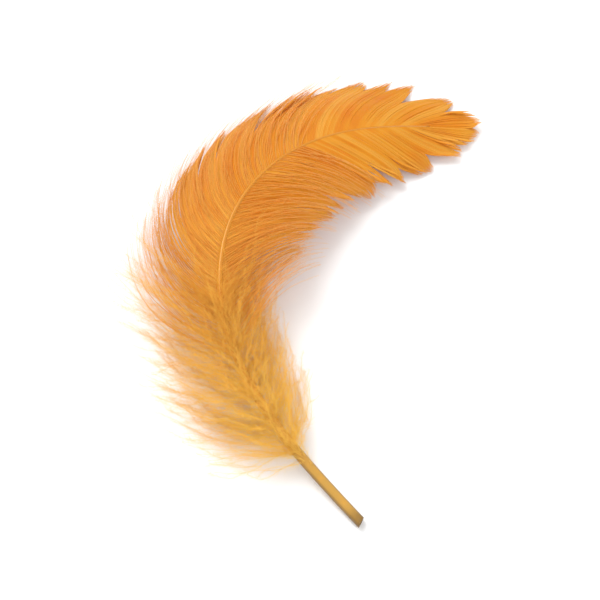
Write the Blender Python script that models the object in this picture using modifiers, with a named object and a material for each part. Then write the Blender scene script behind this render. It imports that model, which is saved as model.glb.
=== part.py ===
"""One goose body feather, dyed orange, lying on a flat surface with its hollow side down.

Metres, +Z up. The feather rests on z = 0 and is centred on the origin. +Y runs from the cut
end of the quill towards the tip of the vane, and the shaft bows out towards -X between them.
A feather grows as one piece, so quill, vane and down are joined into one solid.
"""

import math

import bmesh
import bpy
from mathutils import Vector

# Lengths along the curved shaft, from the cut end of the quill
FEATHER_LENGTH = 0.112
SHAFT_LENGTH = 0.101
BARE_QUILL = 0.014
DOWN_END = 0.044
VANE_START = 0.038
VANE_END = 0.0995

# The shaft's run: where it starts, how it turns in plan and how high it arches
QUILL_END = Vector((0.02275, -0.04086, 0.0008))
HEADING_AT_QUILL = math.radians(57)
SHAFT_TURN = math.radians(132)
STRAIGHT_SHARE = 0.06
ARCH_HEIGHT = 0.0085
ARCH_POWER = 1.5
SHAFT_ROLL = math.radians(7)

# The shaft's thickness
QUILL_RADIUS = 0.00085
RACHIS_TIP_RADIUS = 0.00032
RACHIS_TAPER = 1.8
QUILL_BORE_RADIUS = 0.0004
QUILL_BORE_DEPTH = 0.003

# The two vanes: the left one is on the outside of the bend
LEFT, RIGHT = -1, 1
VANE_WIDTH = {LEFT: 0.0155, RIGHT: 0.0130}
VANE_TIP_OVERLAP = 0.0005
BARB_SWEEP_AT_BASE = {LEFT: 0.0200, RIGHT: 0.0170}
BARB_SWEEP_AT_TIP = 0.0115
VANE_THICKNESS = 0.0005
VANE_CUP_RADIUS = 0.019
VANE_ROOT = 0.00012

# Locks of barbs that part from each other towards the margin
LOCKS_A_SIDE = 11
TIP_LOCK_SHARE = 0.5
LOCK_PHASE = {LEFT: 0.4, RIGHT: 2.3}
LOCK_UNEVENNESS = 0.35
SPLIT_SHALLOWEST = 0.92
SPLIT_DEEPEST = 0.38
SPLIT_RARITY = 1.4
VANE_FULLNESS = 3.4
VANE_TAPER = 0.55
LOCK_PINCH = 0.9
PINCH_GROWTH = 0.35
LOCK_LIFT = 0.0011
LOCK_POINT = 0.11
ROWS_A_LOCK = 3
STEPS_ALONG_BARB = 8
LOCK_WELD = 0.00004

# Tufts of down round the lower shaft
TUFT_LAYERS = (
    # tufts a side, rise above the vane's plane, length, droop at the tip
    (5, math.radians(76), 0.0175, 0.0068),
    (6, math.radians(30), 0.0195, 0.0070),
    (7, math.radians(-2), 0.0215, 0.0060),
    (4, math.radians(-36), 0.0190, 0.0030),
)
TUFT_REACH = {LEFT: 1.0, RIGHT: 0.8}
TUFT_RADIUS = 0.0017
TUFT_ROOT_RADIUS = 0.0005
TUFT_TIP_RADIUS = 0.00022
LAYER_STAGGER = 0.22
SIDE_STAGGER = 0.14
TUFT_POINTS = 7

# The surface that the feather lies on
VANE_FLOOR = 0.0002
TUFT_SINK = 0.75
FLOOR_SOFTNESS = 0.0005
GROUND_SIZE = 0.3
GROUND_DEPTH = 0.02

CENTRELINE_STEPS = 560
SHAFT_POINTS = 44


def smooth(x):
    """0 below 0, 1 above 1 and an S-curve between."""
    x = min(max(x, 0.0), 1.0)
    return x * x * (3 - 2 * x)


def wave(x):
    """A value from -1 to 1 that looks uneven from one whole number to the next."""
    return 0.6 * math.sin(2.4 * x) + 0.4 * math.sin(5.3 * x + 1.0)


def scatter(x):
    """A value from 0 to 1 that follows no pattern from one whole number to the next."""
    return math.sin(12.9898 * x + 4.1) * 43758.5453 % 1.0


def soft_floor(z, floor):
    """z, bent so that it never goes below floor."""
    return floor + FLOOR_SOFTNESS * math.log1p(math.exp(min((z - floor) / FLOOR_SOFTNESS, 60)))


def heading(share):
    """The shaft's direction in plan, in radians to the left of +Y, at a share of its length."""
    return HEADING_AT_QUILL - SHAFT_TURN * smooth((share - STRAIGHT_SHARE) / (1 - STRAIGHT_SHARE))


def arch(share):
    """The height of the shaft's middle above the quill's."""
    return ARCH_HEIGHT * math.sin(math.pi * min(max(share, 0.0), 1.0)) ** ARCH_POWER


def make_centreline():
    """Points at even distances along the whole feather."""
    step = FEATHER_LENGTH / CENTRELINE_STEPS
    points = [QUILL_END.copy()]
    for i in range(CENTRELINE_STEPS):
        rise = arch((i + 1) / CENTRELINE_STEPS) - arch(i / CENTRELINE_STEPS)
        level = math.sqrt(step * step - rise * rise)
        turn = heading((i + 0.5) / CENTRELINE_STEPS)
        points.append(points[-1] + Vector((-math.sin(turn) * level, math.cos(turn) * level, rise)))
    return points


CENTRELINE = make_centreline()


def shaft_frame(s):
    """The centreline's point at length s, and the directions along, across (right) and up."""
    at = min(max(s / FEATHER_LENGTH, 0.0), 1.0) * CENTRELINE_STEPS
    i = min(int(at), CENTRELINE_STEPS - 1)
    point = CENTRELINE[i].lerp(CENTRELINE[i + 1], at - i)
    along = (CENTRELINE[min(i + 2, CENTRELINE_STEPS)] - CENTRELINE[max(i - 1, 0)]).normalized()
    point = point + along * max(s - FEATHER_LENGTH, 0.0)
    across = along.cross(Vector((0, 0, 1))).normalized()
    up = across.cross(along)
    roll = SHAFT_ROLL * math.sin(math.pi * min(s / FEATHER_LENGTH, 1.0))
    tilted = across * math.cos(roll) + up * math.sin(roll)
    return point, along, tilted, tilted.cross(along)


def on_vane(s, d, lift=0.0):
    """The vane's middle surface: s along the shaft, d to the right of it."""
    point, along, across, up = shaft_frame(s)
    placed = point + across * d + up * (lift - d * d / (2 * VANE_CUP_RADIUS))
    placed.z = soft_floor(placed.z, VANE_FLOOR)
    return placed


def shaft_radius(s):
    """The quill keeps its width, then the rachis tapers, fast at first, to its fine end."""
    left = min((SHAFT_LENGTH - s) / (SHAFT_LENGTH - BARE_QUILL), 1.0)
    return RACHIS_TIP_RADIUS + (QUILL_RADIUS - RACHIS_TIP_RADIUS) * left**RACHIS_TAPER


def lock_coordinate(side, share):
    """Each whole number starts a new lock. The last lock is shared with the other side."""
    even = (LOCKS_A_SIDE + TIP_LOCK_SHARE) * share
    return even + LOCK_UNEVENNESS * math.sin(2.1 * even + LOCK_PHASE[side]) * 4 * share * (1 - share)


def share_at_lock(side, coordinate):
    """The share of the vane's length at a lock coordinate, found by halving."""
    low, high = 0.0, 1.0
    for _ in range(40):
        middle = (low + high) / 2
        if lock_coordinate(side, middle) < coordinate:
            low = middle
        else:
            high = middle
    return (low + high) / 2


def barb_reach(side, share):
    """How far a barb's tip lies ahead of its root and out from the shaft."""
    sweep = BARB_SWEEP_AT_BASE[side] + (BARB_SWEEP_AT_TIP - BARB_SWEEP_AT_BASE[side]) * share
    taper = (1 - share**VANE_FULLNESS) ** VANE_TAPER
    return sweep, VANE_WIDTH[side] * taper - VANE_TIP_OVERLAP * (1 - taper)


def split_start(side, boundary):
    """Where along the barbs the two locks beside a boundary part: most only near their tips."""
    depth = scatter(boundary + LOCK_PHASE[side]) ** SPLIT_RARITY
    return SPLIT_SHALLOWEST - (SPLIT_SHALLOWEST - SPLIT_DEEPEST) * depth


def barb_point(side, lock, across_lock, t):
    """A point at t along a barb. across_lock runs from -1 to 1 over the lock."""
    share = share_at_lock(side, lock + (across_lock + 1) / 2)
    middle = share_at_lock(side, lock + 0.5)
    before = split_start(side, lock)
    after = split_start(side, lock + 1)
    start = before + (after - before) * (across_lock + 1) / 2
    t = t * (1 - LOCK_POINT * across_lock**2)
    parted = smooth((t - start) / (1 - start))
    share += (middle - share) * LOCK_PINCH * (1 - start) ** PINCH_GROWTH * parted
    sweep, width = barb_reach(side, share)
    root = VANE_START + (VANE_END - VANE_START) * share
    ahead = sweep * t * (0.8 + 0.2 * t)
    out = VANE_ROOT + width * t * (1.3 - 0.3 * t)
    return on_vane(root + ahead, side * out, LOCK_LIFT * wave(1.7 * lock + LOCK_PHASE[side]) * parted)


def tuft_point(side, s, rise, length, droop, t):
    """A point at t along the middle of a tuft of down."""
    point, along, across, up = shaft_frame(s)
    out = across * (side * math.cos(rise)) + up * math.sin(rise)
    placed = point + along * (length * t * (0.45 + 0.30 * t)) + out * (length * t * (0.85 - 0.15 * t))
    placed.z -= droop * t * t
    placed.z = soft_floor(placed.z, TUFT_SINK * tuft_radius(t))
    return placed


def tuft_radius(t):
    """Thin at the root, fullest past the middle, and pointed."""
    full = math.sin(math.pi * t**0.8) ** 0.8 if 0 < t < 1 else 0.0
    end = TUFT_ROOT_RADIUS + (TUFT_TIP_RADIUS - TUFT_ROOT_RADIUS) * t
    return end + (TUFT_RADIUS - end) * full


def collection_named(name, hidden=False):
    """A new collection in the scene."""
    made = bpy.data.collections.new(name)
    made.hide_render = hidden
    bpy.context.scene.collection.children.link(made)
    return made


def dyed_material():
    """The keratin of the feather, dyed orange."""
    material = bpy.data.materials.new("dyed_feather")
    material.use_nodes = True
    shader = material.node_tree.nodes["Principled BSDF"]
    shader.inputs["Base Color"].default_value = (0.82, 0.30, 0.06, 1)
    shader.inputs["Roughness"].default_value = 0.55
    shader.inputs["Metallic"].default_value = 0.0
    return material


def mesh_object(name, mesh, collection, guide=True):
    """An object in a collection. A guide is only a part of the union, so it is not shown."""
    made = bpy.data.objects.new(name, mesh)
    collection.objects.link(made)
    made.hide_render = guide
    made.display_type = "WIRE" if guide else "TEXTURED"
    return made


def tube(name, points, radii, collection, sides_resolution, guide=True):
    """A closed tube through the points, with its own radius at each, as a mesh."""
    curve = bpy.data.curves.new(name + "_curve", "CURVE")
    curve.dimensions = "3D"
    curve.twist_mode = "Z_UP"
    curve.bevel_depth = 1.0
    curve.bevel_resolution = sides_resolution
    curve.use_fill_caps = True
    spline = curve.splines.new("POLY")
    spline.points.add(len(points) - 1)
    for target, point, radius in zip(spline.points, points, radii):
        target.co = (*point, 1)
        target.radius = radius
    holder = bpy.data.objects.new(name + "_curve", curve)
    bpy.context.scene.collection.objects.link(holder)
    graph = bpy.context.evaluated_depsgraph_get()
    mesh = bpy.data.meshes.new_from_object(holder.evaluated_get(graph))
    work = bmesh.new()
    work.from_mesh(mesh)
    bmesh.ops.remove_doubles(work, verts=work.verts, dist=0.00001)
    work.to_mesh(mesh)
    work.free()
    made = mesh_object(name, mesh, collection, guide)
    made.matrix_world = holder.matrix_world
    bpy.data.objects.remove(holder)
    return made


def make_shaft(collection):
    """Quill and rachis in one tapering tube: it becomes the feather that the rest is joined to."""
    lengths = [SHAFT_LENGTH * i / (SHAFT_POINTS - 1) for i in range(SHAFT_POINTS)]
    points = [shaft_frame(s)[0] for s in lengths]
    radii = [shaft_radius(s) for s in lengths]
    return tube("feather", points, radii, collection, 2, guide=False)


def make_vane(side, name, collection):
    """One vane: a grid whose rows follow the barbs, parted into locks, given a thickness."""
    work = bmesh.new()
    for lock in range(LOCKS_A_SIDE + 1):
        shown = 1 if lock < LOCKS_A_SIDE else TIP_LOCK_SHARE
        grid = bmesh.ops.create_grid(work, x_segments=ROWS_A_LOCK, y_segments=STEPS_ALONG_BARB, size=1)
        for vert in grid["verts"]:
            across_lock, t = (vert.co.x + 1) * shown - 1, (vert.co.y + 1) / 2
            vert.co = barb_point(side, lock, across_lock, t)
    bmesh.ops.remove_doubles(work, verts=work.verts, dist=LOCK_WELD)
    mesh = bpy.data.meshes.new(name)
    work.to_mesh(mesh)
    work.free()
    vane = mesh_object(name, mesh, collection)
    wall = vane.modifiers.new("thickness", "SOLIDIFY")
    wall.thickness = VANE_THICKNESS
    wall.offset = 0
    return vane


def make_tufts(collection):
    """Tufts of down in layers, staggered along the shaft and on both sides of it."""
    for side in (LEFT, RIGHT):
        for layer, (count, rise, length, droop) in enumerate(TUFT_LAYERS):
            for station in range(count):
                uneven = wave(station + 3 * layer + 5 * side)
                place = (station + LAYER_STAGGER * layer + SIDE_STAGGER * (side + 1)) / count
                s = BARE_QUILL + (DOWN_END - BARE_QUILL) * place
                reach = length * TUFT_REACH[side] * (0.80 + 0.20 * smooth(2.5 * place + 0.2))
                reach *= 1 + 0.10 * uneven
                lean = rise + math.radians(9) * uneven
                steps = [i / (TUFT_POINTS - 1) for i in range(TUFT_POINTS)]
                points = [tuft_point(side, s, lean, reach, droop, t) for t in steps]
                name = f"tuft_{'left' if side == LEFT else 'right'}_{layer}_{station}"
                tube(name, points, [tuft_radius(t) for t in steps], collection, 1)


def make_quill_bore(collection):
    """The hollow of the quill, open at the cut end."""
    point, along, _, _ = shaft_frame(0)
    mesh = bpy.data.meshes.new("quill_bore")
    work = bmesh.new()
    bmesh.ops.create_cone(
        work,
        cap_ends=True,
        segments=10,
        radius1=QUILL_BORE_RADIUS,
        radius2=QUILL_BORE_RADIUS,
        depth=2 * QUILL_BORE_DEPTH,
    )
    work.to_mesh(mesh)
    work.free()
    bore = mesh_object("quill_bore", mesh, collection)
    bore.rotation_euler = along.to_track_quat("Z", "Y").to_euler()
    bore.location = point
    return bore


def make_ground(collection):
    """The surface below, which flattens what presses on it."""
    mesh = bpy.data.meshes.new("ground")
    work = bmesh.new()
    bmesh.ops.create_cube(work, size=1)
    for vert in work.verts:
        vert.co = (
            vert.co.x * GROUND_SIZE,
            vert.co.y * GROUND_SIZE,
            (vert.co.z - 0.5) * GROUND_DEPTH,
        )
    work.to_mesh(mesh)
    work.free()
    return mesh_object("ground", mesh, collection)


def apply_modifiers(target):
    """Replace an object's mesh by what its modifiers make of it."""
    graph = bpy.context.evaluated_depsgraph_get()
    target.data = bpy.data.meshes.new_from_object(target.evaluated_get(graph))
    target.modifiers.clear()


def fill_pockets(mesh):
    """Remove the skins of closed pockets between tufts, which leaves the solid whole there."""
    work = bmesh.new()
    work.from_mesh(mesh)
    bmesh.ops.triangulate(work, faces=work.faces)
    unseen = set(work.faces)
    skins = []
    while unseen:
        skin = set()
        edge_of_skin = [unseen.pop()]
        while edge_of_skin:
            face = edge_of_skin.pop()
            skin.add(face)
            near = {other for edge in face.edges for other in edge.link_faces} & unseen
            unseen -= near
            edge_of_skin.extend(near)
        skins.append(skin)
    skins.sort(key=len)
    pockets = [face for skin in skins[:-1] for face in skin]
    bmesh.ops.delete(work, geom=pockets, context="FACES")
    work.to_mesh(mesh)
    work.free()


def clear_scene():
    for old in list(bpy.data.objects):
        bpy.data.objects.remove(old)


def main():
    clear_scene()
    shown = collection_named("goose_feather")
    grown = collection_named("vanes_and_down", hidden=True)
    cutters = collection_named("cutters", hidden=True)

    feather = make_shaft(shown)
    make_vane(LEFT, "vane_left", grown)
    make_vane(RIGHT, "vane_right", grown)
    make_tufts(grown)

    join = feather.modifiers.new("grow_together", "BOOLEAN")
    join.operation = "UNION"
    join.operand_type = "COLLECTION"
    join.collection = grown
    for name, cutter in (
        ("open_the_quill", make_quill_bore(cutters)),
        ("lie_on_the_ground", make_ground(cutters)),
    ):
        cut = feather.modifiers.new(name, "BOOLEAN")
        cut.operation = "DIFFERENCE"
        cut.object = cutter
    apply_modifiers(feather)
    fill_pockets(feather.data)
    feather.data.materials.append(dyed_material())


main()
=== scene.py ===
# %% [markdown]
# # A goose feather, dyed orange
#
# This lesson builds the look of one small body feather of a goose. It lies on a table with
# its hollow side down. We start from a plain solid of the feather, which fixes its size and
# the run of its shaft, and put in its place what the eye sees: a horn quill, two vanes of
# fine barbs that part into pointed locks, and a cloud of down.

# %% Load the plain solid
import math
import random

import bmesh
import bpy
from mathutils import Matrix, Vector


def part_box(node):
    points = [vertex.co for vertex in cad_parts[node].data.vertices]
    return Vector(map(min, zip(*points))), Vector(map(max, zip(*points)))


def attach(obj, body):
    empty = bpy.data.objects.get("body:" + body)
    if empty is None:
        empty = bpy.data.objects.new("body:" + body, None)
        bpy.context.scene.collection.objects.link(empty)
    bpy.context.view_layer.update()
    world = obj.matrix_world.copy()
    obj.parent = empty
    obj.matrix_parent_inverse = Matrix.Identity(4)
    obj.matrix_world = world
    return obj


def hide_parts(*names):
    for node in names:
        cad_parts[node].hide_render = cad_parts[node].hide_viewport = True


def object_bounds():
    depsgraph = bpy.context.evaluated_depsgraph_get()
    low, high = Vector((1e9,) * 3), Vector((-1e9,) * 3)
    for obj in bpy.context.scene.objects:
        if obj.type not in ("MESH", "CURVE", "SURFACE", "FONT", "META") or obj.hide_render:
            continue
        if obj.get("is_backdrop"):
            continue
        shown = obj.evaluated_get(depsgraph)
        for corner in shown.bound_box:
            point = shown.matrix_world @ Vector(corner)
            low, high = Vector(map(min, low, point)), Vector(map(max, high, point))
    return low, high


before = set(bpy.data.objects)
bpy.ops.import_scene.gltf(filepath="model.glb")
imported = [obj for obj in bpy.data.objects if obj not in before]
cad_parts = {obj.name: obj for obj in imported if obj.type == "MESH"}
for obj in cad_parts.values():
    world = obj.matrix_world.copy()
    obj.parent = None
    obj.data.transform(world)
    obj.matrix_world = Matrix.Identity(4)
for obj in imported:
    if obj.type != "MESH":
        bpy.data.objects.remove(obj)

solid_low, solid_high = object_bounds()
low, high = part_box("feather")
print("solid, in millimetres:", [round(1000 * side, 1) for side in high - low])

# %% [markdown]
# ## One millimetre
#
# Every size below is written as so many of the feather's own millimetres. The solid tells us
# how long one is, because we know how far the feather spans from quill to tip. If the solid
# is ever made larger, the barbs and the down grow with it.

# %% Sizes of the whole feather
SPAN_MM = 83.14
MM = (high.y - low.y) / SPAN_MM

FEATHER_LENGTH = 112 * MM
SHAFT_LENGTH = 101 * MM
BARE_QUILL = 14 * MM
DOWN_END = 44 * MM
VANE_START = 38 * MM
VANE_END = 99.5 * MM
QUILL_END = Vector((high.x - 5.09 * MM, low.y + 0.71 * MM, low.z + 0.8 * MM))
LEFT, RIGHT = -1, 1
print("one feather millimetre is", round(MM, 6), "m")

# %% [markdown]
# ## The line that everything grows from
#
# A feather's barbs all grow from its shaft, so the shaft's middle line comes first. We could
# draw it as a curve by hand, but a rule is easier to trust: the line starts in one direction,
# keeps it along the quill, and then turns evenly to the right. Adding up tiny steps in that
# direction gives the points. A low arch lifts the middle off the table.

# %% Helpers for smooth change
HEADING_AT_QUILL = math.radians(57)
SHAFT_TURN = math.radians(132)
STRAIGHT_SHARE = 0.06
ARCH_HEIGHT = 8.5 * MM
ARCH_POWER = 1.5
SHAFT_ROLL = math.radians(7)
CENTRELINE_STEPS = 560


def smooth(x):
    """0 below 0, 1 above 1 and an S-curve between."""
    x = min(max(x, 0.0), 1.0)
    return x * x * (3 - 2 * x)


def wave(x):
    """A value from -1 to 1 that looks uneven from one whole number to the next."""
    return 0.6 * math.sin(2.4 * x) + 0.4 * math.sin(5.3 * x + 1.0)


def scatter(x):
    """A value from 0 to 1 that follows no pattern from one whole number to the next."""
    return math.sin(12.9898 * x + 4.1) * 43758.5453 % 1.0


def heading(share):
    """The shaft's direction, in radians to the left of +Y, at a share of its length."""
    return HEADING_AT_QUILL - SHAFT_TURN * smooth((share - STRAIGHT_SHARE) / (1 - STRAIGHT_SHARE))


def arch(share):
    """The height of the shaft's middle above the quill's."""
    return ARCH_HEIGHT * math.sin(math.pi * min(max(share, 0.0), 1.0)) ** ARCH_POWER


# %% The shaft's middle line
def make_centreline():
    """Points at even distances along the whole feather."""
    step = FEATHER_LENGTH / CENTRELINE_STEPS
    points = [QUILL_END.copy()]
    for i in range(CENTRELINE_STEPS):
        rise = arch((i + 1) / CENTRELINE_STEPS) - arch(i / CENTRELINE_STEPS)
        level = math.sqrt(step * step - rise * rise)
        turn = heading((i + 0.5) / CENTRELINE_STEPS)
        points.append(points[-1] + Vector((-math.sin(turn) * level, math.cos(turn) * level, rise)))
    return points


CENTRELINE = make_centreline()
print("the line ends at", [round(1000 * c, 1) for c in CENTRELINE[-1]], "mm")

# %% [markdown]
# ## A frame that travels along the line
#
# At each length along the shaft we need to know which way is along, which way is across and
# which way is up. With those three directions a barb can be written down as if the feather
# were straight and flat, and then bent into place. The vane is cupped, so it drops away from
# the shaft as the square of the distance, and a soft floor keeps it off the table.

# %% Directions on the shaft, and places on the vane
VANE_CUP_RADIUS = 19 * MM
VANE_FLOOR = 0.2 * MM
FLOOR_SOFTNESS = 0.5 * MM


def soft_floor(z, floor):
    """z, bent so that it never goes below floor."""
    return floor + FLOOR_SOFTNESS * math.log1p(math.exp(min((z - floor) / FLOOR_SOFTNESS, 60)))


def shaft_frame(s):
    """The line's point at length s, and the directions along, across (right) and up."""
    at = min(max(s / FEATHER_LENGTH, 0.0), 1.0) * CENTRELINE_STEPS
    i = min(int(at), CENTRELINE_STEPS - 1)
    point = CENTRELINE[i].lerp(CENTRELINE[i + 1], at - i)
    along = (CENTRELINE[min(i + 2, CENTRELINE_STEPS)] - CENTRELINE[max(i - 1, 0)]).normalized()
    point = point + along * max(s - FEATHER_LENGTH, 0.0)
    across = along.cross(Vector((0, 0, 1))).normalized()
    up = across.cross(along)
    roll = SHAFT_ROLL * math.sin(math.pi * min(s / FEATHER_LENGTH, 1.0))
    tilted = across * math.cos(roll) + up * math.sin(roll)
    return point, along, tilted, tilted.cross(along)


def on_vane(s, d, lift=0.0):
    """The vane's middle surface: s along the shaft, d to the right of it."""
    point, along, across, up = shaft_frame(s)
    placed = point + across * d + up * (lift - d * d / (2 * VANE_CUP_RADIUS))
    placed.z = soft_floor(placed.z, VANE_FLOOR)
    return placed


# %% [markdown]
# ## Barbs that part into locks
#
# A vane is not a sheet. Here it is two hundred barbs a side that hook into each other. Near
# the shaft they hold together. Towards the margin they part here and there, and the barbs of
# each lock draw in to one point. So each side is counted off in locks, each barb knows where
# it lies in its lock, and past the split it is pulled towards the lock's middle. Most splits
# are shallow nicks and a few run deep, as on a feather that has been packed and shaken.

# %% Sizes of the vanes
VANE_WIDTH = {LEFT: 15.5 * MM, RIGHT: 13.0 * MM}
VANE_TIP_OVERLAP = 0.5 * MM
BARB_SWEEP_AT_BASE = {LEFT: 20.0 * MM, RIGHT: 17.0 * MM}
BARB_SWEEP_AT_TIP = 11.5 * MM
VANE_ROOT = 0.12 * MM
LOCKS_A_SIDE = 11
TIP_LOCK_SHARE = 0.5
LOCK_PHASE = {LEFT: 0.4, RIGHT: 2.3}
LOCK_UNEVENNESS = 0.35
SPLIT_SHALLOWEST = 0.92
SPLIT_DEEPEST = 0.38
SPLIT_RARITY = 1.4
VANE_FULLNESS = 3.4
VANE_TAPER = 0.55
LOCK_PINCH = 0.9
PINCH_GROWTH = 0.35
LOCK_LIFT = 1.1 * MM
LOCK_POINT = 0.11
BARB_BEND = 0.2
BARB_BOW = 0.3


# %% Where a lock begins, and how far its barbs reach
def lock_coordinate(side, share):
    """Each whole number starts a new lock. The last lock is shared with the other side."""
    even = (LOCKS_A_SIDE + TIP_LOCK_SHARE) * share
    return even + LOCK_UNEVENNESS * math.sin(2.1 * even + LOCK_PHASE[side]) * 4 * share * (1 - share)


def share_at_lock(side, coordinate):
    """The share of the vane's length at a lock coordinate, found by halving."""
    start, end = 0.0, 1.0
    for _ in range(30):
        middle = (start + end) / 2
        if lock_coordinate(side, middle) < coordinate:
            start = middle
        else:
            end = middle
    return (start + end) / 2


def barb_reach(side, share):
    """How far a barb's tip lies ahead of its root and out from the shaft."""
    sweep = BARB_SWEEP_AT_BASE[side] + (BARB_SWEEP_AT_TIP - BARB_SWEEP_AT_BASE[side]) * share
    taper = (1 - share**VANE_FULLNESS) ** VANE_TAPER
    return sweep, VANE_WIDTH[side] * taper - VANE_TIP_OVERLAP * (1 - taper)


def along_barb(t):
    """Shares of its sweep and its width that a barb has covered at t: it leaves the shaft steeply."""
    return t * (1 - BARB_BEND + BARB_BEND * t), t * (1 + BARB_BOW - BARB_BOW * t)


def split_start(side, boundary):
    """Where along the barbs the two locks beside a boundary part: most only near their tips."""
    depth = scatter(boundary + LOCK_PHASE[side]) ** SPLIT_RARITY
    return SPLIT_SHALLOWEST - (SPLIT_SHALLOWEST - SPLIT_DEEPEST) * depth


# %% The path of one barb
BARBS_A_SIDE = 200
TIP_CROWDING = 1.3
BARB_POINTS = 25
STRANDS_A_LOCK = 4
STRAND_PINCH = 0.62
STRAND_START = 0.66
STRAND_START_SPREAD = 0.7
STRAND_FADE = 0.8
STRAND_SHORTENING = 0.06
SHORTEST_BARB, LONGEST_BARB = 0.955, 1.01
LIFT_BEAT = 1.7
LOCK_TWIST = 0.55 * MM
TWIST_BEAT = 2.9
UNDULATION = 0.22 * MM
UNDULATION_ALONG = 2.7 * MM
UNDULATION_ACROSS = 4.1 * MM
BARB_LAYER = 0.05 * MM
STRAY_CHANCE = 0.06
STRAY_FROM = 0.45
STRAY_LIFT = 1.3 * MM
STRAY_SWING = 1.6 * MM
LOOSE_SHARE = 0.26
LOOSE_STRAY = 0.75
LOOSE_SOONER = 0.4
LOOSE_SHORTENING = 0.3


def looseness(share):
    """1 for the lowest barbs, which do not hook together, and 0 for those of the closed vane."""
    return 1 - smooth(share / LOOSE_SHARE)


def barb_path(side, share, draw):
    """Each place on a barb as a length s, a distance d, and the lift above the vane."""
    coordinate = lock_coordinate(side, share)
    lock = math.floor(coordinate)
    in_lock = coordinate - lock
    across_lock = 2 * in_lock - 1
    middle = share_at_lock(side, lock + 0.5)
    strand = math.floor(in_lock * STRANDS_A_LOCK)
    strand_middle = share_at_lock(side, lock + (strand + 0.5) / STRANDS_A_LOCK)
    start_before, start_after = split_start(side, lock), split_start(side, lock + 1)
    start = start_before + (start_after - start_before) * in_lock
    strand_number = STRANDS_A_LOCK * lock + strand
    strand_start = STRAND_START + (1 - STRAND_START) * STRAND_START_SPREAD * scatter(strand_number)
    own_length = (1 - LOCK_POINT * across_lock**2) * draw.uniform(SHORTEST_BARB, LONGEST_BARB)
    own_length *= 1 - STRAND_SHORTENING * scatter(strand_number + side)
    own_lift = BARB_LAYER * draw.uniform(-1, 1)
    loose = looseness(share)
    own_length *= 1 - LOOSE_SHORTENING * loose * draw.random() ** 2
    stray = 1.0 if draw.random() < STRAY_CHANCE else LOOSE_STRAY * loose
    stray_lift = STRAY_LIFT * draw.uniform(0.2, 1) * stray
    stray_swing = STRAY_SWING * draw.uniform(-1, 1) * stray
    places = []
    for i in range(BARB_POINTS):
        t = own_length * i / (BARB_POINTS - 1)
        parted = smooth((t - start) / (1 - start))
        sooner = LOOSE_SOONER * loose
        strayed = smooth((t - STRAY_FROM + sooner) / (1 - STRAY_FROM + sooner))
        pulled = share + (middle - share) * LOCK_PINCH * (1 - start) ** PINCH_GROWTH * parted
        strand_pull = STRAND_PINCH * smooth((t - strand_start) / (1 - strand_start))
        pulled += (strand_middle - pulled) * strand_pull * (1 - STRAND_FADE * parted)
        sweep, width = barb_reach(side, pulled)
        ahead, outward = along_barb(t)
        s = VANE_START + (VANE_END - VANE_START) * pulled + sweep * ahead
        d = side * (VANE_ROOT + width * outward)
        lift = LOCK_LIFT * wave(LIFT_BEAT * lock + LOCK_PHASE[side])
        lift += LOCK_TWIST * across_lock * wave(TWIST_BEAT * lock)
        lift = lift * parted + own_lift * smooth(4 * t) + stray_lift * strayed
        lift += UNDULATION * math.sin(s / UNDULATION_ALONG) * math.sin(abs(d) / UNDULATION_ACROSS)
        places.append((s + stray_swing * strayed, d, lift))
    return places


# %% Blades as wide as the gap to the next barb
BLADE_OVERLAP = 1.5
BLADE_NARROWEST = 0.07 * MM
BLADE_WIDEST = 0.50 * MM
BLADE_TIP_SHARE = 0.3
BLADE_LOOSE_SHARE = 0.22
BLADE_TILT = 0.13
OWN_SHADE, STRAND_SHADE, LOCK_SHADE = 0.25, 0.50, 0.25


def gap_beside(points, other, i):
    """The distance from a barb to its neighbour, square to the barb."""
    ahead = (points[min(i + 1, len(points) - 1)] - points[max(i - 1, 0)]).normalized()
    between = other[i] - points[i]
    return (between - ahead * between.dot(ahead)).length


def vane_threads(side, seed):
    """All barbs of one side as threads: points, widths, facings and their own values."""
    draw = random.Random(seed)
    shares = [1 - (1 - (i + 0.5) / BARBS_A_SIDE) ** TIP_CROWDING for i in range(BARBS_A_SIDE)]
    paths = [barb_path(side, share, draw) for share in shares]
    lines = [[on_vane(*place) for place in path] for path in paths]
    locks = [math.floor(lock_coordinate(side, share)) for share in shares]
    threads = []
    for number, (share, path, points) in enumerate(zip(shares, paths, lines)):
        same_lock = number + 1 < len(lines) and locks[number + 1] == locks[number]
        beside = lines[number + 1 if same_lock else number - 1]
        widths, faces = [], []
        for i, (s, d, _) in enumerate(path):
            t = i / (BARB_POINTS - 1)
            gap = gap_beside(points, beside, i) * BLADE_OVERLAP
            width = min(max(gap, BLADE_NARROWEST), BLADE_WIDEST)
            width *= 1 - (1 - BLADE_LOOSE_SHARE) * looseness(share) * smooth(3 * t)
            widths.append(width * (1 - (1 - BLADE_TIP_SHARE) * smooth(8 * t - 7)))
            _, along, across, up = shaft_frame(s)
            faces.append((up + across * (d / VANE_CUP_RADIUS) + along * BLADE_TILT).normalized())
        strand = math.floor(STRANDS_A_LOCK * lock_coordinate(side, share))
        shade = OWN_SHADE * draw.random() + STRAND_SHADE * scatter(strand + 0.37 * side)
        shade += LOCK_SHADE * scatter(locks[number] + 7.7 * side)
        values = {"shade": shade, "share": share}
        threads.append({"points": points, "widths": widths, "faces": faces, **values})
    return threads


# %% [markdown]
# ## Silk over the lower vane
#
# The lowest barbs of a body feather are half vane and half down. Their fine ends are too soft
# to hook together, so they float above the vane as silk and reach past its margin. They
# follow the same rule as the barbs, with longer reach, more lift and a slow ripple.

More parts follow.
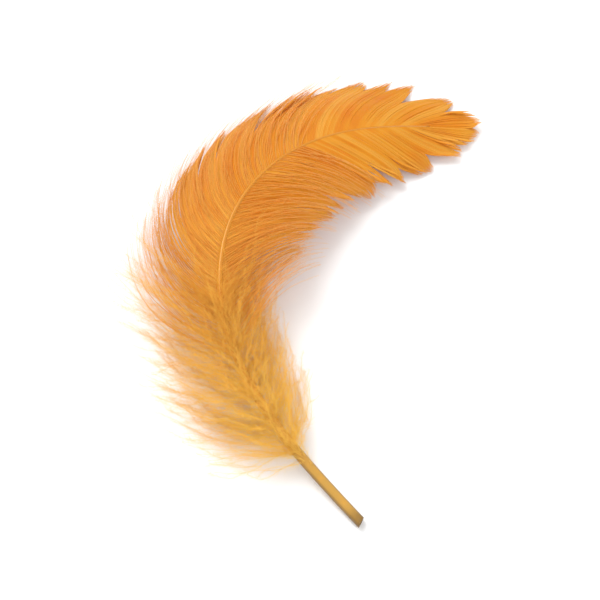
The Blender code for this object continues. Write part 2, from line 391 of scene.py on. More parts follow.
# %% Threads of silk
SILK_COUNT = 130
SILK_END = 0.66
SILK_BELOW = 5 * MM
SILK_ABOVE = 0.15 * MM
SILK_LIFT = 1.5 * MM
SILK_RIPPLE = 0.55 * MM
SILK_CROWDING = 1.3
SILK_WIDTH = 0.125 * MM
SILK_TIP_WIDTH = 0.030 * MM
SILK_POINTS = 20


def silk_thread(side, share, draw):
    """One soft thread that starts beside the shaft and floats over the vane."""
    sweep, width = barb_reach(side, share)
    root = VANE_START - SILK_BELOW * (1 - share) + (VANE_END - VANE_START) * share
    sweep *= draw.uniform(0.85, 1.2)
    width *= draw.uniform(0.85, 1.2 - 0.1 * share)
    lift = SILK_LIFT * draw.uniform(0.1, 1)
    phase, beat = draw.uniform(0, 2 * math.pi), draw.uniform(4, 9)
    points, widths, faces = [], [], []
    for i in range(SILK_POINTS):
        t = i / (SILK_POINTS - 1)
        ripple = SILK_RIPPLE * t * math.sin(beat * t + phase)
        ahead, outward = along_barb(t)
        s = root + sweep * ahead + ripple
        d = side * (VANE_ROOT + width * outward + 0.5 * ripple)
        points.append(on_vane(s, d, SILK_ABOVE + lift * smooth(1.6 * t) + 0.4 * ripple))
        widths.append(SILK_WIDTH + (SILK_TIP_WIDTH - SILK_WIDTH) * t)
        faces.append(shaft_frame(s)[3])
    return {"points": points, "widths": widths, "faces": faces, "shade": draw.random(), "share": share}


def silk_threads(seed):
    """Silk on both sides, closer together low on the vane than high."""
    draw = random.Random(seed)
    return [
        silk_thread(side, SILK_END * ((i + draw.random()) / SILK_COUNT) ** SILK_CROWDING, draw)
        for side in (LEFT, RIGHT)
        for i in range(SILK_COUNT)
    ]


# %% [markdown]
# ## Threads as a mesh
#
# A node tree needs something to grow on. We give it the threads as a mesh of edges only,
# with the width, the facing and the colour values kept as attributes on each point. The tree
# can then sweep a blade or set fine hairs along every thread at once.

# %% Threads to a mesh with attributes
def thread_mesh(name, threads):
    """Open chains of edges that carry a width, a facing, a shade and a share of the length."""
    points, edges = [], []
    for thread in threads:
        first = len(points)
        points.extend(thread["points"])
        edges.extend((i, i + 1) for i in range(first, len(points) - 1))
    mesh = bpy.data.meshes.new(name)
    mesh.from_pydata(points, edges, [])
    store(mesh, "width", "FLOAT", [w for t in threads for w in t["widths"]])
    store(mesh, "facing", "FLOAT_VECTOR", [c for t in threads for f in t["faces"] for c in f])
    store(mesh, "shade", "FLOAT", [t["shade"] for t in threads for _ in t["points"]])
    store(mesh, "share", "FLOAT", [t["share"] for t in threads for _ in t["points"]])
    return mesh


def store(mesh, name, kind, values):
    """One value, or one vector, for each point of a mesh."""
    field = "vector" if kind == "FLOAT_VECTOR" else "value"
    mesh.attributes.new(name, kind, "POINT").data.foreach_set(field, values)


# %% [markdown]
# ## Arithmetic on sockets
#
# Node trees are full of small sums. Written as nodes and links they are hard to read, so one
# small class wraps a socket and lets us write the sum as Python. It serves the trees that
# make geometry and the ones that make materials, because both use the same Math node.

# %% A socket that can be used in sums
class Value:
    """A node's output that adds Math nodes when it is used in an expression."""

    def __init__(self, graph, socket):
        self.graph = graph
        self.socket = socket

    def math(self, operation, first, second=0.0, third=0.0):
        return self.graph.add("ShaderNodeMath", {"operation": operation}, [first, second, third])

    def __add__(self, other):
        return self.math("ADD", self, other)

    def __radd__(self, other):
        return self.math("ADD", other, self)

    def __sub__(self, other):
        return self.math("SUBTRACT", self, other)

    def __rsub__(self, other):
        return self.math("SUBTRACT", other, self)

    def __mul__(self, other):
        return self.math("MULTIPLY", self, other)

    def __rmul__(self, other):
        return self.math("MULTIPLY", other, self)

    def __truediv__(self, other):
        return self.math("DIVIDE", self, other)

    def highest(self, other):
        return self.math("MAXIMUM", self, other)

    def sine(self):
        return self.math("SINE", self)

    def cosine(self):
        return self.math("COSINE", self)

    def sign(self):
        return self.math("SIGN", self)

    def over(self, limit):
        return self.math("GREATER_THAN", self, limit)

    def step(self, start, end):
        """0 up to start, 1 from end, and a smooth change between."""
        settings = {"interpolation_type": "SMOOTHSTEP"}
        feeds = {"Value": self, "From Min": start, "From Max": end}
        return self.graph.add("ShaderNodeMapRange", settings, feeds)


# %% A tree that adds nodes in one call
class Graph:
    """A node tree. add() makes a node from its type, its settings and what its sockets get."""

    def __init__(self, tree):
        self.tree = tree

    def add(self, kind, settings=None, feeds=None, output=0):
        node = self.tree.nodes.new(kind)
        for name, setting in (settings or {}).items():
            setattr(node, name, setting)
        pairs = feeds.items() if isinstance(feeds, dict) else enumerate(feeds or [])
        for name, value in pairs:
            self.feed(node.inputs[name], value)
        return Value(self, node.outputs[output])

    def feed(self, socket, value):
        if isinstance(value, Value):
            self.tree.links.new(value.socket, socket)
        else:
            socket.default_value = value

    def vector(self, operation, first, second=(0, 0, 0), scale=1.0, output=0):
        settings = {"operation": operation}
        made = self.add("ShaderNodeVectorMath", settings, {0: first, 1: second}, output)
        if operation == "SCALE":
            self.feed(made.socket.node.inputs["Scale"], scale)
        return made

    def split(self, vector):
        made = self.add("ShaderNodeSeparateXYZ", None, [vector])
        return [Value(self, socket) for socket in made.socket.node.outputs]

    def join(self, x, y, z):
        return self.add("ShaderNodeCombineXYZ", None, [x, y, z])


# %% [markdown]
# ## Growing a piece
#
# Each kind of barb gets a Geometry Nodes tree with named inputs. The helper below hangs the
# tree on a thread mesh, sets the inputs by their identifiers, and turns the outcome into a
# plain mesh, because a finished piece carries no live modifier.

# %% Trees with named inputs
def geometry_graph(name, inputs):
    """An empty geometry tree, its threads, and its named inputs as Values."""
    tree = bpy.data.node_groups.new(name, "GeometryNodeTree")
    tree.interface.new_socket("Threads", in_out="INPUT", socket_type="NodeSocketGeometry")
    for label, kind in inputs.items():
        tree.interface.new_socket(label, in_out="INPUT", socket_type=f"NodeSocket{kind}")
    tree.interface.new_socket("Piece", in_out="OUTPUT", socket_type="NodeSocketGeometry")
    graph = Graph(tree)
    entry = tree.nodes.new("NodeGroupInput")
    sockets = {label: Value(graph, entry.outputs[label]) for label in ("Threads", *inputs)}
    return graph, sockets


def finish_graph(graph, geometry, material):
    """Realize Instances, Set Material, and out."""
    realized = graph.add("GeometryNodeRealizeInstances", None, {"Geometry": geometry})
    dressed = graph.add("GeometryNodeSetMaterial", None, {"Geometry": realized, "Material": material})
    leave = graph.tree.nodes.new("NodeGroupOutput")
    graph.feed(leave.inputs["Piece"], dressed)
    return graph.tree


def attribute(graph, name, kind="FLOAT"):
    """A stored attribute, read inside a geometry tree."""
    return graph.add("GeometryNodeInputNamedAttribute", {"data_type": kind}, {"Name": name})


def keep(graph, geometry, name, value):
    """Store a value on every point, so that a material can read it."""
    feeds = {"Geometry": geometry, "Name": name, "Value": value}
    return graph.add("GeometryNodeStoreNamedAttribute", {"domain": "POINT"}, feeds)


def grow(name, threads, tree, settings):
    """Run a tree on threads and keep what it makes as a plain mesh."""
    piece = bpy.data.objects.new(name, thread_mesh(name, threads))
    bpy.context.scene.collection.objects.link(piece)
    modifier = piece.modifiers.new("growth", "NODES")
    modifier.node_group = tree
    for item in tree.interface.items_tree:
        if item.in_out == "INPUT" and item.name in settings:
            modifier[item.identifier] = settings[item.name]
    graph = bpy.context.evaluated_depsgraph_get()
    mesh = bpy.data.meshes.new_from_object(piece.evaluated_get(graph))
    piece.modifiers.clear()
    piece.data = mesh
    mesh.name = name
    triangles = sum(len(face.vertices) - 2 for face in mesh.polygons)
    print(f"{name}: {len(threads)} threads, {triangles} triangles")
    return piece


# %% [markdown]
# ## The tree for blades
#
# A barb of the closed vane is a flat blade, a rib with a fringe of tiny hooks on both sides.
# One lens-shaped outline swept along the thread gives each barb its own body, which catches
# light as a separate silky line. The facing attribute turns the blade to lie in the vane.
# At the free ends the fringe comes loose, so short fine hairs are set there.

# %% Blades and their loose fringe
LENS_SIDES = 6
LENS_THICKNESS = 0.20


def outline(graph, sides):
    """A round outline one unit across, to be swept along curves."""
    feeds = {"Resolution": sides, "Radius": 0.5}
    return graph.add("GeometryNodeCurvePrimitiveCircle", {"mode": "RADIUS"}, feeds)


def swept_blades(graph, curves, width):
    """A lens-shaped blade along every curve, flat across the vane."""
    feeds = {"Geometry": outline(graph, LENS_SIDES), "Scale": (LENS_THICKNESS, 1, 1)}
    lens = graph.add("GeometryNodeTransform", None, feeds)
    feeds = {"Curve": curves, "Profile Curve": lens, "Scale": width, "Fill Caps": True}
    return graph.add("GeometryNodeCurveToMesh", None, feeds)


def curves_with_facing(graph, threads):
    """The threads as curves that know their facing and how far along themselves they are."""
    curves = graph.add("GeometryNodeMeshToCurve", None, {"Mesh": threads})
    feeds = {"Curve": curves, "Normal": attribute(graph, "facing", "FLOAT_VECTOR")}
    curves = graph.add("GeometryNodeSetCurveNormal", {"mode": "FREE"}, feeds)
    along = graph.add("GeometryNodeSplineParameter")
    return keep(graph, curves, "along", along)


def random_value(graph, lowest, highest, seed):
    """An even random number for each element."""
    feeds = {"Min_001": lowest, "Max_001": highest, "Seed": seed}
    node = graph.tree.nodes.new("FunctionNodeRandomValue")
    node.data_type = "FLOAT"
    for socket in node.inputs:
        if socket.identifier in feeds:
            graph.feed(socket, feeds[socket.identifier])
    return Value(graph, next(s for s in node.outputs if s.identifier == "Value_001"))


# %% [markdown]
# ## Hairs beside a thread
#
# The fine hairs of a barb are called barbules. Each one is a slender three-sided spike with
# four faces, because there are tens of thousands. A hair leaves its thread at an angle, half
# forward and half to one side, with some chance in the roll. Its downward part is limited so
# that its point stays above the table.

# %% Spikes set along curves
SHORTEST_HAIR = 0.06 * MM
LEAST_LENGTH = 0.45
LEAST_LEAN, MOST_LEAN = 0.75, 1.25


def hairs(graph, curves, spacing, length, radius, splay, roll, seed):
    """Spikes on both sides of every curve, as instances."""
    feeds = {"Curve": curves, "Length": spacing}
    stations = graph.add("GeometryNodeCurveToPoints", {"mode": "LENGTH"}, feeds)
    node = stations.socket.node
    tangent = Value(graph, node.outputs["Tangent"])
    normal = Value(graph, node.outputs["Normal"])
    sideways = graph.vector("CROSS_PRODUCT", tangent, normal)
    angle = random_value(graph, -1.0, 1.0, seed) * roll
    side = random_value(graph, -1.0, 1.0, seed + 1).sign()
    out = graph.vector(
        "ADD",
        graph.vector("SCALE", sideways, scale=angle.cosine() * side),
        graph.vector("SCALE", normal, scale=angle.sine()),
    )
    lean = splay * random_value(graph, LEAST_LEAN, MOST_LEAN, seed + 2)
    aim = graph.vector(
        "ADD",
        graph.vector("SCALE", tangent, scale=lean.cosine()),
        graph.vector("SCALE", out, scale=lean.sine()),
    )
    own_length = length * random_value(graph, LEAST_LENGTH, 1.0, seed + 3)
    place = graph.add("GeometryNodeInputPosition")
    aim_x, aim_y, aim_z = graph.split(aim)
    room = graph.split(place)[2] / own_length
    aim = graph.join(aim_x, aim_y, aim_z.highest(room * -1.0))
    turn = graph.add("FunctionNodeAlignRotationToVector", {"axis": "Z"}, {"Vector": aim})
    own_length = own_length * graph.vector("LENGTH", aim, output=1)
    spike = graph.add(
        "GeometryNodeMeshCone",
        {"fill_type": "NGON"},
        {"Vertices": 3, "Side Segments": 1, "Radius Top": 0.0, "Radius Bottom": 1.0, "Depth": 1.0},
    )
    height = graph.split(graph.add("GeometryNodeInputPosition"))[2]
    spike = keep(graph, spike, "fine", height)
    feeds = {
        "Points": stations,
        "Selection": own_length.over(SHORTEST_HAIR),
        "Instance": spike,
        "Rotation": turn,
        "Scale": graph.join(radius, radius, own_length),
    }
    return graph.add("GeometryNodeInstanceOnPoints", None, feeds)


# %% The tree for a vane
VANE_INPUTS = {
    "Hair Spacing": "Float",
    "Hair Length": "Float",
    "Hair Radius": "Float",
    "Loose From": "Float",
    "Seed": "Int",
    "Material": "Material",
}
VANE_HAIR_SPLAY = math.radians(38)
VANE_HAIR_ROLL = 0.5


def vane_tree():
    """Blades along the threads, with loose hairs towards their free ends."""
    graph, given = geometry_graph("vane_growth", VANE_INPUTS)
    curves = curves_with_facing(graph, given["Threads"])
    blades = swept_blades(graph, curves, attribute(graph, "width"))
    blades = graph.add("GeometryNodeSetShadeSmooth", None, {"Geometry": blades, "Shade Smooth": True})
    low_on_vane = 1 - attribute(graph, "share").step(0.0, 0.50)
    loose = attribute(graph, "along").step(given["Loose From"] - low_on_vane * 0.45, 1.0)
    fringe = hairs(
        graph,
        curves,
        given["Hair Spacing"],
        given["Hair Length"] * loose * (1 + low_on_vane * 1.6),
        given["Hair Radius"],
        VANE_HAIR_SPLAY,
        VANE_HAIR_ROLL,
        given["Seed"],
    )
    whole = graph.tree.nodes.new("GeometryNodeJoinGeometry")
    graph.tree.links.new(fringe.socket, whole.inputs[0])
    graph.tree.links.new(blades.socket, whole.inputs[0])
    return finish_graph(graph, Value(graph, whole.outputs[0]), given["Material"])


# %% Both vanes
VANE_SEED = {LEFT: 11, RIGHT: 12}


def vane_settings(side, material):
    return {
        "Hair Spacing": 0.11 * MM,
        "Hair Length": 0.55 * MM,
        "Hair Radius": 0.012 * MM,
        "Loose From": 0.5,
        "Seed": VANE_SEED[side],
        "Material": material,
    }


# %% [markdown]
# ## Down
#
# Below the vane the barbs have no hooks. Each one is a soft thread with long fine barbules,
# and hundreds of them spring from the shaft in every direction, which makes the warm cloud
# that keeps a goose dry. They cling together in tufts, so the threads are drawn tuft by tuft:
# each row of the table is one layer of tufts, from those that stand up over the shaft to the
# small second feather that lies beneath it.

# %% Sizes of the down
TUFT_LAYERS = (
    # tufts a side, rise above the vane's plane, length, droop at the tip
    (5, math.radians(76), 17.5 * MM, 6.8 * MM),
    (6, math.radians(30), 19.5 * MM, 7.0 * MM),
    (7, math.radians(-2), 21.5 * MM, 6.0 * MM),
    (4, math.radians(-36), 19.0 * MM, 3.0 * MM),
)
TUFT_REACH = {LEFT: 1.0, RIGHT: 0.8}
LAYER_STAGGER = 0.22
SIDE_STAGGER = 0.14
THREADS_A_TUFT = 18
DOWN_POINTS = 18
DOWN_FLOOR = 0.30 * MM
DOWN_STEM_WIDTH = 0.060 * MM
DOWN_STEM_TIP_WIDTH = 0.014 * MM
DOWN_RIPPLE = 1.3 * MM
ROOT_JITTER = 1.3 * MM
RISE_JITTER = math.radians(16)
TUFT_RISE_SPREAD = math.radians(9)
FORWARD = 0.45
TURN_JITTER = 0.20
SHORTEST_THREAD, LONGEST_THREAD = 0.55, 1.02
WIDEST_SWING = 0.16


# %% One thread of down
def down_thread(side, s, rise, length, droop, draw):
    """A curved, slightly wavy thread of a tuft that springs from the lower shaft."""
    s += ROOT_JITTER * draw.gauss(0, 1)
    rise += RISE_JITTER * draw.gauss(0, 1)
    length *= draw.uniform(SHORTEST_THREAD, LONGEST_THREAD)
    forward = draw.gauss(FORWARD, TURN_JITTER)
    point, along, across, up = shaft_frame(s)
    out = across * (side * math.cos(rise)) + up * math.sin(rise)
    sideways = along.cross(out)
    phase, other_phase = draw.uniform(0, 2 * math.pi), draw.uniform(0, 2 * math.pi)
    beat = draw.uniform(4.5, 9.0)
    swing = draw.uniform(-WIDEST_SWING, WIDEST_SWING) * length
    points, widths = [], []
    for i in range(DOWN_POINTS):
        t = i / (DOWN_POINTS - 1)
        placed = point + along * (length * t * (forward + 0.30 * t))
        placed += out * (length * t * (0.85 - 0.15 * t))
        placed += sideways * (DOWN_RIPPLE * t * math.sin(beat * t + phase) + swing * t * t)
        placed += along * (0.7 * DOWN_RIPPLE * t * math.sin(1.3 * beat * t + other_phase))
        placed.z -= droop * t * t
        placed.z = soft_floor(placed.z, DOWN_FLOOR)
        points.append(placed)
        widths.append(DOWN_STEM_WIDTH + (DOWN_STEM_TIP_WIDTH - DOWN_STEM_WIDTH) * t)
    face = (sideways + up * draw.uniform(-1, 1)).normalized()
    values = {"shade": draw.random(), "share": (s - BARE_QUILL) / (DOWN_END - BARE_QUILL)}
    return {"points": points, "widths": widths, "faces": [face] * DOWN_POINTS, **values}


def down_threads(side, layers, seed):
    """The threads of some layers of tufts along one side of the lower shaft."""
    draw = random.Random(seed)
    threads = []
    for layer in layers:
        count, rise, length, droop = TUFT_LAYERS[layer]
        for station in range(count):
            uneven = wave(station + 3 * layer + 5 * side)
            place = (station + LAYER_STAGGER * layer + SIDE_STAGGER * (side + 1)) / count
            s = BARE_QUILL + (DOWN_END - BARE_QUILL) * place
            reach = length * TUFT_REACH[side] * (0.80 + 0.20 * smooth(2.5 * place + 0.2))
            reach *= 1 + 0.10 * uneven
            lean = rise + TUFT_RISE_SPREAD * uneven
            for _ in range(THREADS_A_TUFT):
                threads.append(down_thread(side, s, lean, reach, droop, draw))
    return threads


# %% The tree for down
DOWN_INPUTS = {
    "Hair Spacing": "Float",
    "Hair Length": "Float",
    "Hair Radius": "Float",
    "Seed": "Int",
    "Material": "Material",
}
STEM_SIDES = 3
BARBULE_SPLAY = math.radians(50)
BARBULE_ROLL = 1.3


def down_tree():
    """A thin stem along each thread, with long soft hairs from root to tip."""
    graph, given = geometry_graph("down_growth", DOWN_INPUTS)
    curves = curves_with_facing(graph, given["Threads"])
    feeds = {
        "Curve": curves,
        "Profile Curve": outline(graph, STEM_SIDES),
        "Scale": attribute(graph, "width"),
        "Fill Caps": True,
    }
    stems = graph.add("GeometryNodeCurveToMesh", None, feeds)
    along = attribute(graph, "along")
    fullness = along.step(-0.10, 0.15) * (1.2 - along * 0.65)
    barbules = hairs(
        graph,
        curves,
        given["Hair Spacing"],
        given["Hair Length"] * fullness,
        given["Hair Radius"],
        BARBULE_SPLAY,
        BARBULE_ROLL,
        given["Seed"],
    )
    whole = graph.tree.nodes.new("GeometryNodeJoinGeometry")
    graph.tree.links.new(barbules.socket, whole.inputs[0])
    graph.tree.links.new(stems.socket, whole.inputs[0])
    return finish_graph(graph, Value(graph, whole.outputs[0]), given["Material"])


# %% [markdown]
# ## Quill and rachis
#
# The shaft is one piece of horn. Its bare lower end, the quill, is a round hollow tube that
# was cut off bluntly. Above the down it turns into the rachis, which is nearly square, has a
# groove beneath and tapers to a hair. Rings of points joined by faces follow that change
# better than a swept circle would, so this piece is made ring by ring.

# %% Sizes of the shaft
QUILL_RADIUS = 0.85 * MM
RACHIS_TIP_RADIUS = 0.12 * MM
RACHIS_TAPER = 1.8
SHAFT_RINGS = 150
RING_SIDES = 24
WALL_SHARE = 0.62
BORE_DEPTH = 12 * MM
BORE_RINGS = 30
PITH_CAP_SPACING = 1.6 * MM
PITH_CAP_DEPTH = 0.22
CUT_SLANT = 0.35
CUT_REACH = 3 * MM
LIP_SCALE = 0.82
RACHIS_CHANGE = 12 * MM
RACHIS_SQUARENESS = 0.10
GROOVE_DEPTH = 0.30
GROOVE_SPREAD = 0.6


# %% Rings of the shaft
def shaft_radius(s):
    """The quill keeps its width, then the rachis tapers, fast at first, to its fine end."""
    left = min((SHAFT_LENGTH - s) / (SHAFT_LENGTH - BARE_QUILL), 1.0)
    return RACHIS_TIP_RADIUS + (QUILL_RADIUS - RACHIS_TIP_RADIUS) * left**RACHIS_TAPER


def bore_scale(depth):
    """The bore's share of the quill's width: pith caps narrow it at even steps, and it closes."""
    cap = abs(math.sin(math.pi * depth / PITH_CAP_SPACING)) ** 6
    return WALL_SHARE * (1 - PITH_CAP_DEPTH * cap) * (1 - (depth / BORE_DEPTH) ** 8 * 0.8)


def ring(s, scale, slant=0.0):
    """A ring of places round the shaft at length s: round on the quill, grooved on the rachis.

    The table flattens the quill by a hair's breadth where it lies on it.
    """
    point, along, across, up = shaft_frame(s)
    rachis = smooth((s - BARE_QUILL) / RACHIS_CHANGE)
    places = []
    for i in range(RING_SIDES):
        angle = 2 * math.pi * i / RING_SIDES
        square = 1 + RACHIS_SQUARENESS * rachis * math.cos(4 * angle)
        from_below = math.remainder(angle + math.pi / 2, 2 * math.pi)
        groove = 1 - GROOVE_DEPTH * rachis * math.exp(-((from_below / GROOVE_SPREAD) ** 2))
        radius = shaft_radius(s) * scale * square * groove
        place = point + across * (radius * math.cos(angle)) + up * (radius * math.sin(angle))
        place += along * (slant * radius * math.cos(angle))
        place.z = max(place.z, low.z)
        places.append(place)
    return places


def make_shaft(name, material):
    """Outer skin, cut lip and bore of the shaft, as one closed mesh."""
    work = bmesh.new()
    along_layer = work.verts.layers.float.new("along")
    inside_layer = work.verts.layers.float.new("inside")
    painted_side_shade_layer = work.verts.layers.float.new("painted_side_shade")
    rows = []
    for i in range(BORE_RINGS):
        depth = BORE_DEPTH * (1 - i / (BORE_RINGS - 1))
        rows.append((depth, bore_scale(depth), 1.0))
    rows.append((0.0, LIP_SCALE, 0.5))
    for i in range(SHAFT_RINGS):
        rows.append((SHAFT_LENGTH * (i / (SHAFT_RINGS - 1)) ** 1.15, 1.0, 0.0))
    rings = []
    for s, scale, inside in rows:
        slant = CUT_SLANT * smooth(1 - s / CUT_REACH)
        verts = [work.verts.new(place) for place in ring(s, scale, slant)]
        for i, vert in enumerate(verts):
            vert[along_layer] = s / SHAFT_LENGTH
            vert[inside_layer] = inside
            # How far round to the side each point lies, kept for the painted shade on the shaft's
            # flanks.
            vert[painted_side_shade_layer] = math.cos(2 * math.pi * i / RING_SIDES) ** 2
        rings.append(verts)
    for before, after in zip(rings, rings[1:]):
        for i in range(RING_SIDES):
            j = (i + 1) % RING_SIDES
            work.faces.new((before[i], before[j], after[j], after[i]))
    work.faces.new(rings[0])
    work.faces.new(rings[-1])
    bmesh.ops.recalc_face_normals(work, faces=work.faces)
    for face in work.faces:
        face.smooth = True
    mesh = bpy.data.meshes.new(name)
    work.to_mesh(mesh)
    work.free()
    mesh.materials.append(material)
    piece = bpy.data.objects.new(name, mesh)
    bpy.context.scene.collection.objects.link(piece)
    print(f"{name}: {len(mesh.polygons)} faces")
    return piece


# %% [markdown]
# ## Materials
#
# Dyed keratin takes colour unevenly. Barbs near the root stay yellower, the vane is peach
# orange, and thin places let light through, which is why folds glow red-orange. Each
# material mixes a surface shader with one that lets light through from behind.

# %% Helpers for materials
def new_material(name):
    """A material with an empty tree, and its graph."""
    material = bpy.data.materials.new(name)
    material.use_nodes = True
    material.node_tree.nodes.clear()
    return material, Graph(material.node_tree)


def read(graph, name):
    """A number stored on the mesh."""
    return graph.add("ShaderNodeAttribute", {"attribute_name": name}, None, "Fac")


def noise(graph, scale, detail=3.0, stretch=(1, 1, 1)):
    """Soft noise on Object coordinates; scale counts patches a metre."""
    coordinates = graph.add("ShaderNodeTexCoord", None, None, "Object")
    stretched = graph.add("ShaderNodeMapping", None, {"Vector": coordinates, "Scale": stretch})
    feeds = {"Vector": stretched, "Scale": scale, "Detail": detail, "Roughness": 0.55}
    return graph.add("ShaderNodeTexNoise", None, feeds, "Fac")


def blend(graph, factor, first, second):
    """A colour between two colours."""
    node = graph.tree.nodes.new("ShaderNodeMix")
    node.data_type = "RGBA"
    for socket, value in zip((s for s in node.inputs if s.type == "RGBA"), (first, second)):
        graph.feed(socket, value if isinstance(value, Value) else (*value, 1))
    graph.feed(next(s for s in node.inputs if s.identifier == "Factor_Float"), factor)
    return Value(graph, next(s for s in node.outputs if s.type == "RGBA"))


def light_through(graph, surface, colour, share):
    """The surface, mixed with light that comes from behind it, to the material's output."""
    behind = graph.add("ShaderNodeBsdfTranslucent", None, {"Color": (*colour, 1)})
    both = graph.add("ShaderNodeMixShader", None, {0: share, 1: surface, 2: behind})
    end = graph.tree.nodes.new("ShaderNodeOutputMaterial")
    graph.feed(end.inputs["Surface"], both)


# %% Colours of dyed feather
PEACH = (0.83, 0.355, 0.014)
ORANGE = (0.78, 0.240, 0.004)
PALE_PEACH = (0.88, 0.465, 0.060)
HONEY = (0.90, 0.53, 0.080)
CREAM = (0.98, 0.78, 0.18)
WISP = (0.98, 0.59, 0.12)
GLOW = (0.99, 0.78, 0.22)
PALE_TIP = (0.99, 0.80, 0.34)
SILK = (0.95, 0.55, 0.10)
PALE_SILK = (0.99, 0.68, 0.26)
GOLD = (0.82, 0.40, 0.045)
DEEP_GOLD = (0.78, 0.31, 0.014)
HORN = (0.64, 0.35, 0.055)
OLIVE = (0.16, 0.09, 0.018)
SHINE = 0.25


# %% The vane's material
def vane_material():
    material, graph = new_material("dyed_vane")
    along = read(graph, "along")
    shade = read(graph, "shade")
    share = read(graph, "share")
    patches = noise(graph, 130.0)
    streak = shade * 0.45 + patches * 0.75
    colour = blend(graph, streak.step(0.30, 0.75), ORANGE, PEACH)
    colour = blend(graph, along.step(0.60, 1.0) * 0.50, colour, PALE_PEACH)
    colour = blend(graph, shade.step(0.50, 0.80) * 0.60, colour, PALE_PEACH)
    low_on_vane = 1 - share.step(0.0, 0.45)
    colour = blend(graph, low_on_vane * (1 - along * 0.5) * 0.85, colour, HONEY)
    roughness = 0.45 + patches * 0.20
    fine = noise(graph, 5200.0, 2.0)
    relief = graph.add("ShaderNodeBump", None, {"Strength": 0.2, "Distance": 0.00003, "Height": fine})
    surface = graph.add(
        "ShaderNodeBsdfPrincipled",
        None,
        {
            "Base Color": colour,
            "Roughness": roughness,
            "Normal": relief,
            "Specular IOR Level": SHINE,
            "Sheen Weight": 0.1,
        },
    )
    light_through(graph, surface, PEACH, 0.36)
    return material


# %% The materials of down and silk
def soft_material(name, root_colour, tip_colour, vane_colour, glow):
    """Fine threads whose colour runs from root to tip and warms towards the vane."""
    material, graph = new_material(name)
    along = read(graph, "along")
    shade = read(graph, "shade")
    near_vane = (read(graph, "share") + along * 0.35).step(0.35, 1.15)
    patches = noise(graph, 180.0)
    colour = blend(graph, along.step(0.20, 1.0) * (0.6 + shade * 0.4), root_colour, tip_colour)
    colour = blend(graph, near_vane * 0.85, colour, vane_colour)
    colour = blend(graph, (shade * 0.6 + patches * 0.6).step(0.45, 0.95) * 0.4, colour, SILK)
    colour = blend(graph, read(graph, "fine") * 0.4, colour, PALE_TIP)
    surface = graph.add(
        "ShaderNodeBsdfPrincipled",
        None,
        {
            "Base Color": colour,
            "Roughness": 0.65 + shade * 0.15,
            "Specular IOR Level": SHINE,
            "Sheen Weight": 0.1,
        },
    )
    light_through(graph, surface, glow, 0.50)
    return material


# %% The quill's material
def quill_material():
    material, graph = new_material("dyed_quill")
    along = read(graph, "along")
    inside = read(graph, "inside")
    painted_side_shade = read(graph, "painted_side_shade")
    streaks = noise(graph, 900.0, 4.0)
    pith = noise(graph, 500.0, 2.0)
    bare = 1 - along.step(0.09, 0.20)
    colour = blend(graph, along.step(0.10, 0.30), HORN, GOLD)
    colour = blend(graph, along.step(0.30, 0.55), colour, DEEP_GOLD)
    colour = blend(graph, pith.step(0.50, 0.75) * 0.4 * bare, colour, GOLD)
    # Painted shade: the shaft's two flanks are darkened towards olive, strongly on the bare quill and
    # faintly on the rachis, so its sides read darker than its top.
    colour = blend(graph, painted_side_shade.step(0.20, 0.95) * (0.10 + bare * 0.65), colour, OLIVE)
    colour = blend(graph, (1 - along.step(0.0, 0.035)) * (0.35 + streaks * 0.7), colour, OLIVE)
    colour = blend(graph, inside * 0.6, colour, OLIVE)
    relief = graph.add("ShaderNodeBump", None, {"Strength": 0.3, "Distance": 0.00004, "Height": streaks})
    surface = graph.add(
        "ShaderNodeBsdfPrincipled",
        None,
        {
            "Base Color": colour,
            "Roughness": 0.22 + streaks * 0.2,
            "Normal": relief,
            "Coat Weight": 0.3,
            "Coat Roughness": 0.12,
        },
    )
    light_through(graph, surface, HORN, 0.25)
    return material


# %% [markdown]
# ## Putting the feather together
#
# All pieces are grown in place, so nothing has to be moved. Each one rides on the feather's
# only body, and the plain solid is hidden.

# %% Make the pieces
VANE_FINISH = vane_material()
DOWN_FINISH = soft_material("dyed_down", CREAM, WISP, PALE_PEACH, GLOW)
SILK_FINISH = soft_material("dyed_silk", SILK, PALE_SILK, PALE_SILK, SILK)
QUILL_FINISH = quill_material()
SILK_SEED = 31
DOWN_PIECES = {
    # name: side, layers of tufts, seed
    "down_left_upper": (LEFT, (0, 1), 21),
    "down_left_lower": (LEFT, (2, 3), 22),
    "down_right_upper": (RIGHT, (0, 1), 23),
    "down_right_lower": (RIGHT, (2, 3), 24),
}


def soft_settings(spacing, length, seed, material):
    """What the tree for down gets: distances between hairs and their length, in metres."""
    return {
        "Hair Spacing": spacing,
        "Hair Length": length,
        "Hair Radius": 0.0115 * MM,
        "Seed": seed,
        "Material": material,
    }


shaft = make_shaft("quill_and_rachis", QUILL_FINISH)
vane_growth = vane_tree()
vanes = [
    grow(name, vane_threads(side, VANE_SEED[side]), vane_growth, vane_settings(side, VANE_FINISH))
    for side, name in ((LEFT, "vane_left"), (RIGHT, "vane_right"))
]
down_growth = down_tree()
silk_look = soft_settings(0.22 * MM, 0.9 * MM, SILK_SEED, SILK_FINISH)
silk = grow("silk", silk_threads(SILK_SEED), down_growth, silk_look)
downs = []
for name, (side, layers, seed) in DOWN_PIECES.items():
    down_look = soft_settings(0.115 * MM, 1.8 * MM, seed, DOWN_FINISH)
    downs.append(grow(name, down_threads(side, layers, seed), down_growth, down_look))

# %% Let them ride on the feather
for pieces, slot in (([shaft], "quill"), ([*vanes, silk], "vane"), (downs, "down")):
    for piece in pieces:
        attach(piece, "root")
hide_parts("feather")

# %% [markdown]
# ## Floor, light and camera
#
# A pale matte floor keeps attention on the feather. A broad lamp from the upper left, a
# weaker one opposite and a bright sky give soft light with faint shadows. The camera looks
# down at it steeply, turned a little so that the quill points to the lower right.

# %% The pale floor
FLOOR_SIZE = 4.0


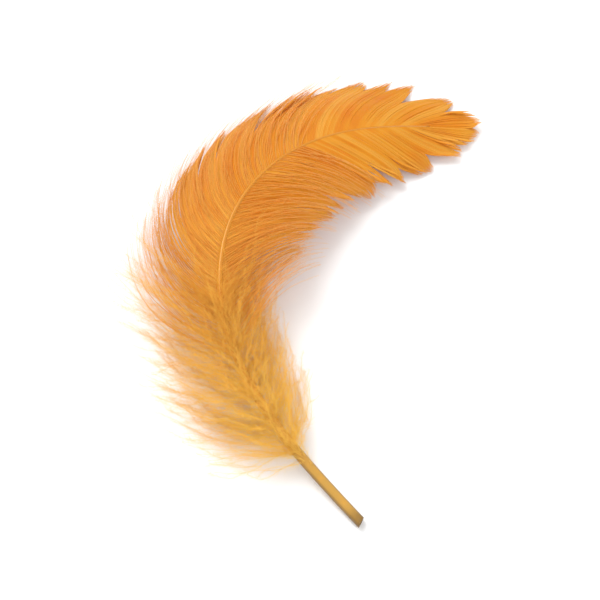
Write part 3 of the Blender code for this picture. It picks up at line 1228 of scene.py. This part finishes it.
def make_floor():
    mesh = bpy.data.meshes.new("floor")
    half = FLOOR_SIZE / 2
    corners = [(-half, -half, 0), (half, -half, 0), (half, half, 0), (-half, half, 0)]
    mesh.from_pydata(corners, [], [(0, 1, 2, 3)])
    material, graph = new_material("pale_floor")
    speckle = noise(graph, 60.0)
    colour = blend(graph, speckle, (0.86, 0.86, 0.86), (0.90, 0.90, 0.90))
    surface = graph.add("ShaderNodeBsdfPrincipled", None, {"Base Color": colour, "Roughness": 0.9})
    end = graph.tree.nodes.new("ShaderNodeOutputMaterial")
    graph.feed(end.inputs["Surface"], surface)
    mesh.materials.append(material)
    floor = bpy.data.objects.new("floor", mesh)
    bpy.context.scene.collection.objects.link(floor)
    return floor


make_floor()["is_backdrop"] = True


# %% Soft studio light
def area_light(name, place, size, power):
    """A square lamp that faces the feather."""
    lamp = bpy.data.lights.new(name, "AREA")
    lamp.size = size
    lamp.energy = power
    holder = bpy.data.objects.new(name, lamp)
    holder.location = place
    holder.rotation_euler = (-Vector(place)).to_track_quat("-Z", "Y").to_euler()
    bpy.context.scene.collection.objects.link(holder)


area_light("key_light", (-0.45, 0.35, 0.75), 0.5, 6.3)
area_light("fill_light", (0.6, -0.5, 0.6), 0.6, 2.6)
world = bpy.data.worlds.new("soft_sky")
world.use_nodes = True
world.node_tree.nodes["Background"].inputs["Color"].default_value = (1.0, 1.0, 1.0, 1)
world.node_tree.nodes["Background"].inputs["Strength"].default_value = 0.88
bpy.context.scene.world = world
bpy.context.scene.view_settings.view_transform = "Standard"

# %% The camera
VIEW_AZIMUTH = math.radians(14)
VIEW_ELEVATION = math.radians(63)
LENS = 85.0
FRAME_HEIGHT = 98 * MM
AIM_RIGHT = 2.8 * MM
AIM_DOWN = 9.3 * MM

camera_data = bpy.data.cameras.new("camera")
camera_data.lens = LENS
camera = bpy.data.objects.new("camera", camera_data)
bpy.context.scene.collection.objects.link(camera)
back = Vector((
    math.sin(VIEW_AZIMUTH) * math.cos(VIEW_ELEVATION),
    -math.cos(VIEW_AZIMUTH) * math.cos(VIEW_ELEVATION),
    math.sin(VIEW_ELEVATION),
))
picture_right = Vector((math.cos(VIEW_AZIMUTH), math.sin(VIEW_AZIMUTH), 0))
picture_up = back.cross(picture_right)
target = (low + high) / 2 + picture_right * AIM_RIGHT - picture_up * AIM_DOWN
distance = FRAME_HEIGHT / 2 / (camera_data.sensor_width / 2 / LENS)
camera.location = target + back * distance
camera.rotation_euler = (-back).to_track_quat("-Z", "Y").to_euler()
camera_data.clip_start = 0.01
camera_data.clip_end = 20
bpy.context.scene.camera = camera

# %% [markdown]
# ## Print the size
#
# The dressed feather has to stay close to the solid that it stands for, so both boxes are
# printed side by side.

# %% Print the boxes
dressed_low, dressed_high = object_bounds()
boxes = {
    "solid": [list(solid_low), list(solid_high)],
    "dressed": [list(dressed_low), list(dressed_high)],
}
for label, (start, end) in boxes.items():
    print(label, [round(1000 * (b - a), 1) for a, b in zip(start, end)], "mm")
